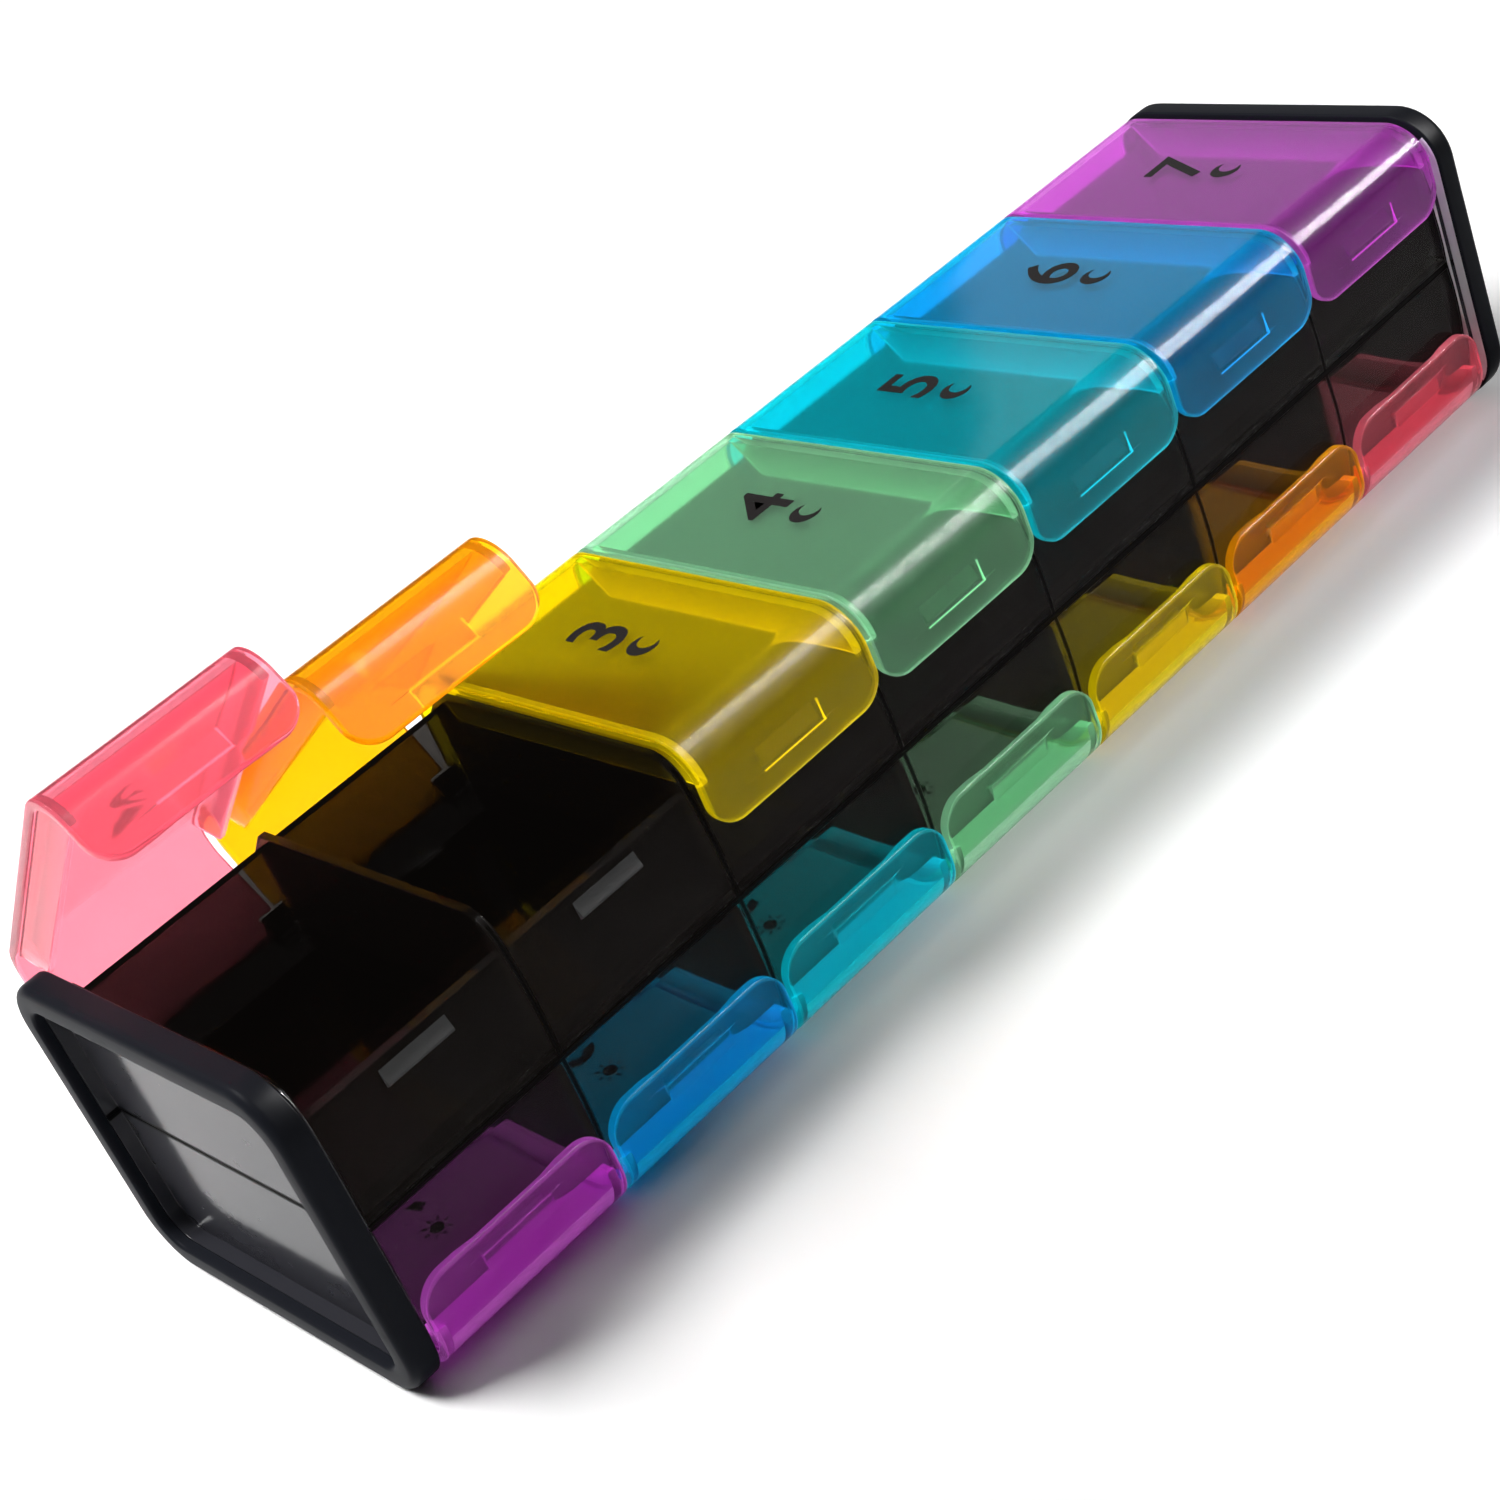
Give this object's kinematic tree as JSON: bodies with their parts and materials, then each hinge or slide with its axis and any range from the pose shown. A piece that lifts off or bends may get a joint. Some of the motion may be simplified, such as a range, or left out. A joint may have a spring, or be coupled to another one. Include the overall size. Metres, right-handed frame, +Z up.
{
  "type": "weekly pill organizer",
  "caption": "Double-sided weekly pill organizer: two rows of bays back to back, tinted snap lids hinged at the back, dark end frames that it stands on.",
  "frame": {"origin": "middle of the row of bays and of the lids' depth, on the plane that the end frames stand on", "axes": "+X along the row of days, -Y the latch side, +Y the hinge side, +Z up"},
  "size_m": [0.2302, 0.0706, 0.0797],
  "materials": {
    "smoky_tray": "smoky translucent moulded plastic",
    "dark_frame": "near-black satin moulded plastic",
    "lid_red": "translucent red moulded plastic, polished",
    "lid_orange": "translucent orange moulded plastic, polished",
    "lid_yellow": "translucent yellow moulded plastic, polished",
    "lid_green": "translucent green moulded plastic, polished",
    "lid_teal": "translucent teal moulded plastic, polished",
    "lid_blue": "translucent blue moulded plastic, polished",
    "lid_purple": "translucent purple moulded plastic, polished"
  },
  "bodies": {
    "base": {"pm_tray": "smoky_tray", "am_tray": "smoky_tray", "end_frame_left": "dark_frame", "end_frame_right": "dark_frame"},
    "pm_lid_1": {"pm_lid_1": "lid_red"},
    "pm_lid_2": {"pm_lid_2": "lid_orange"},
    "pm_lid_3": {"pm_lid_3": "lid_yellow"},
    "pm_lid_4": {"pm_lid_4": "lid_green"},
    "pm_lid_5": {"pm_lid_5": "lid_teal"},
    "pm_lid_6": {"pm_lid_6": "lid_blue"},
    "pm_lid_7": {"pm_lid_7": "lid_purple"},
    "am_lid_1": {"am_lid_1": "lid_red"},
    "am_lid_2": {"am_lid_2": "lid_orange"},
    "am_lid_3": {"am_lid_3": "lid_yellow"},
    "am_lid_4": {"am_lid_4": "lid_green"},
    "am_lid_5": {"am_lid_5": "lid_teal"},
    "am_lid_6": {"am_lid_6": "lid_blue"},
    "am_lid_7": {"am_lid_7": "lid_purple"}
  },
  "joints": [
    {"name": "pm_lid_1_hinge", "type": "hinge", "parent": "base", "child": "pm_lid_1", "pos_m": [-0.0945, 0.0293, 0.029], "axis": [-1, 0, 0], "range_deg": [-41.5, 53.5]},
    {"name": "pm_lid_2_hinge", "type": "hinge", "parent": "base", "child": "pm_lid_2", "pos_m": [-0.063, 0.0293, 0.029], "axis": [-1, 0, 0], "range_deg": [-34, 61]},
    {"name": "pm_lid_3_hinge", "type": "hinge", "parent": "base", "child": "pm_lid_3", "pos_m": [-0.0315, 0.0293, 0.029], "axis": [-1, 0, 0], "range_deg": [0, 95]},
    {"name": "pm_lid_4_hinge", "type": "hinge", "parent": "base", "child": "pm_lid_4", "pos_m": [0, 0.0293, 0.029], "axis": [-1, 0, 0], "range_deg": [0, 95]},
    {"name": "pm_lid_5_hinge", "type": "hinge", "parent": "base", "child": "pm_lid_5", "pos_m": [0.0315, 0.0293, 0.029], "axis": [-1, 0, 0], "range_deg": [0, 95]},
    {"name": "pm_lid_6_hinge", "type": "hinge", "parent": "base", "child": "pm_lid_6", "pos_m": [0.063, 0.0293, 0.029], "axis": [-1, 0, 0], "range_deg": [0, 95]},
    {"name": "pm_lid_7_hinge", "type": "hinge", "parent": "base", "child": "pm_lid_7", "pos_m": [0.0945, 0.0293, 0.029], "axis": [-1, 0, 0], "range_deg": [0, 95]},
    {"name": "am_lid_1_hinge", "type": "hinge", "parent": "base", "child": "am_lid_1", "pos_m": [0.0945, 0.0293, 0.019], "axis": [1, 0, 0], "range_deg": [0, 95]},
    {"name": "am_lid_2_hinge", "type": "hinge", "parent": "base", "child": "am_lid_2", "pos_m": [0.063, 0.0293, 0.019], "axis": [1, 0, 0], "range_deg": [0, 95]},
    {"name": "am_lid_3_hinge", "type": "hinge", "parent": "base", "child": "am_lid_3", "pos_m": [0.0315, 0.0293, 0.019], "axis": [1, 0, 0], "range_deg": [0, 95]},
    {"name": "am_lid_4_hinge", "type": "hinge", "parent": "base", "child": "am_lid_4", "pos_m": [0, 0.0293, 0.019], "axis": [1, 0, 0], "range_deg": [0, 95]},
    {"name": "am_lid_5_hinge", "type": "hinge", "parent": "base", "child": "am_lid_5", "pos_m": [-0.0315, 0.0293, 0.019], "axis": [1, 0, 0], "range_deg": [0, 95]},
    {"name": "am_lid_6_hinge", "type": "hinge", "parent": "base", "child": "am_lid_6", "pos_m": [-0.063, 0.0293, 0.019], "axis": [1, 0, 0], "range_deg": [0, 95]},
    {"name": "am_lid_7_hinge", "type": "hinge", "parent": "base", "child": "am_lid_7", "pos_m": [-0.0945, 0.0293, 0.019], "axis": [1, 0, 0], "range_deg": [0, 95]}
  ]
}
